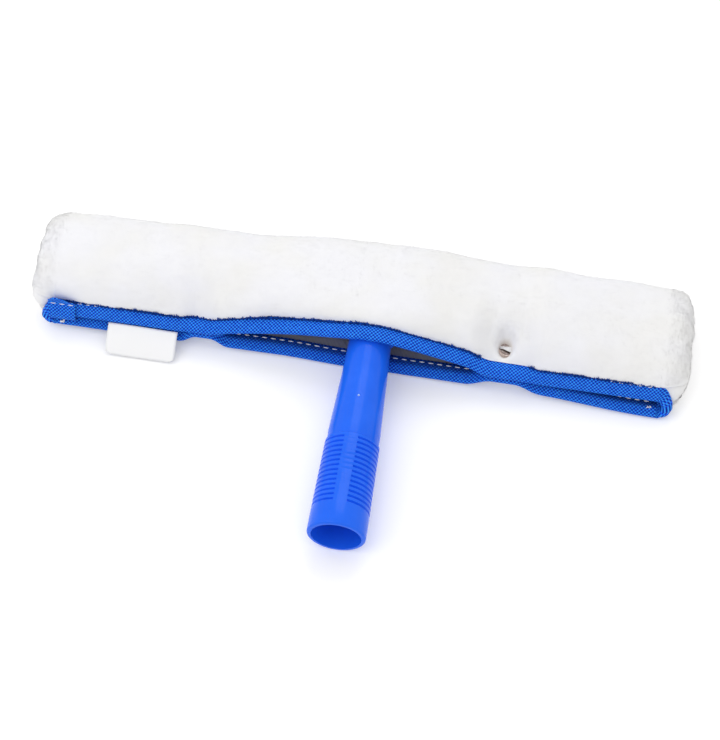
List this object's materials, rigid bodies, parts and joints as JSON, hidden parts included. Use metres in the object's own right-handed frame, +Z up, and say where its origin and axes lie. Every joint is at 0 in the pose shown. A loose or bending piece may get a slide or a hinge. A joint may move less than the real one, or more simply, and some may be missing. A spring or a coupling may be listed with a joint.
{
  "type": "window scrubber",
  "caption": "T-bar window scrubber with a ribbed pole-socket handle and a plush washing sleeve whose taped mouth opens for the bar.",
  "frame": {"origin": "middle of the bounding box, on the surface the scrubber lies on", "axes": "+X along the crossbar towards the end away from the label, +Y from the pole socket towards the back of the sleeve, +Z up from the surface the scrubber lies on"},
  "size_m": [0.355, 0.1754, 0.0406],
  "materials": {
    "handle_plastic": "glossy moulded plastic",
    "bar_plastic": "satin extruded plastic",
    "screw_steel": "plated steel",
    "plush_pile": "dense soft pile",
    "knitted_backing": "knitted ground cloth",
    "binding_tape": "woven binding tape",
    "sewing_thread": "twisted thread",
    "label_cloth": "smooth woven satin",
    "stud_metal": "nickel plated"
  },
  "bodies": {
    "scrubber": {"handle": "handle_plastic", "crossbar": "bar_plastic", "end_plug_left": "bar_plastic", "end_plug_right": "bar_plastic", "saddle_screws": "screw_steel", "plush_lower": "plush_pile", "plush_end_left": "plush_pile", "plush_end_right": "plush_pile", "backing_lower": "knitted_backing", "tape_lower": "binding_tape", "tape_corner_left": "binding_tape", "tape_corner_right": "binding_tape", "thread_lower": "sewing_thread", "end_seam_left": "sewing_thread", "end_seam_right": "sewing_thread", "stud_left": "stud_metal", "stud_right": "stud_metal", "stud_post_left": "stud_metal", "stud_post_right": "stud_metal"},
    "mouth_flap": {"plush_upper": "plush_pile", "backing_upper": "knitted_backing", "tape_upper": "binding_tape", "thread_upper": "sewing_thread", "label": "label_cloth", "stud_cap_left": "stud_metal", "stud_cap_right": "stud_metal", "stud_socket_left": "stud_metal", "stud_socket_right": "stud_metal"}
  },
  "joints": [
    {"name": "mouth_hinge", "type": "hinge", "parent": "scrubber", "child": "mouth_flap", "pos_m": [0, 0.08768, 0.0152], "axis": [-1, 0, 0], "range_deg": [0, 24]}
  ]
}
